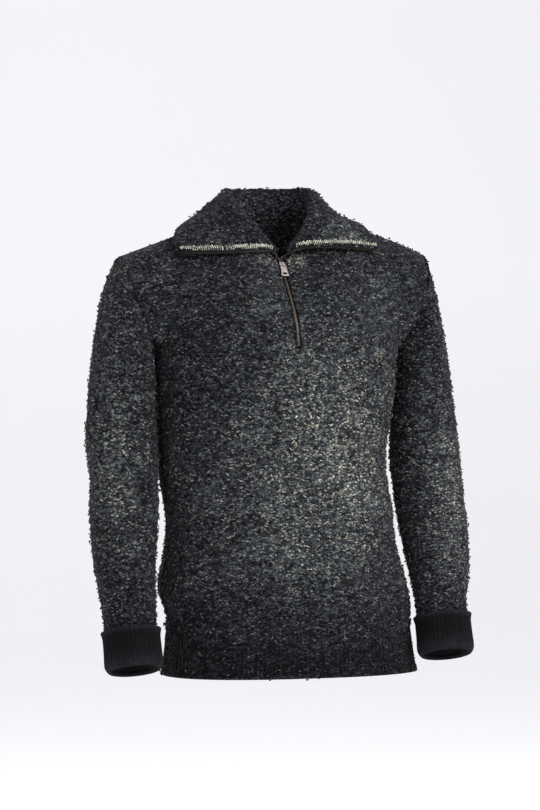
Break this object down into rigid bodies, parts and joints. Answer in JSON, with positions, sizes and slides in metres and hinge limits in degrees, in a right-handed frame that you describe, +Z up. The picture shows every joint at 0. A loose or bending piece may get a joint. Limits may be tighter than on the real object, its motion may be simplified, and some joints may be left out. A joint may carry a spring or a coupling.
{
  "type": "half-zip pullover sweater",
  "caption": "Chunky boucle knit pullover in its hollow worn form, with a folded-down funnel collar, half zip, ribbed hem and turned-up rib cuffs.",
  "frame": {"origin": "midway between the two points where a shoulder seam meets the neck, where the wearer's shoulders hold the garment", "axes": "+Z up, -Y out of the front, +X towards the wearer's left"},
  "size_m": [0.631, 0.2646, 0.7798],
  "materials": {
    "boucle": "matte looped knit, near black flecked with grey and cream",
    "black_rib": "matte fine rib knit",
    "zip_tape": "woven tape with fine metal teeth",
    "zip_metal": "satin, slightly warm"
  },
  "bodies": {
    "garment": {"front_panel": "boucle", "back_panel": "boucle", "sleeve_right": "boucle", "sleeve_left": "boucle", "collar": "boucle", "hem_rib_front": "boucle", "hem_rib_back": "boucle", "cuff_right": "black_rib", "cuff_left": "black_rib", "zip_tape_right": "zip_tape", "zip_tape_left": "zip_tape", "zip_slider": "zip_metal"},
    "pull_tab": {"zip_pull_tab": "zip_metal"}
  },
  "joints": [
    {"name": "pull_tab_hinge", "type": "hinge", "parent": "garment", "child": "pull_tab", "pos_m": [-0.00002, -0.05994, -0.07099], "axis": [-1, 0, 0], "range_deg": [0, 120]}
  ]
}
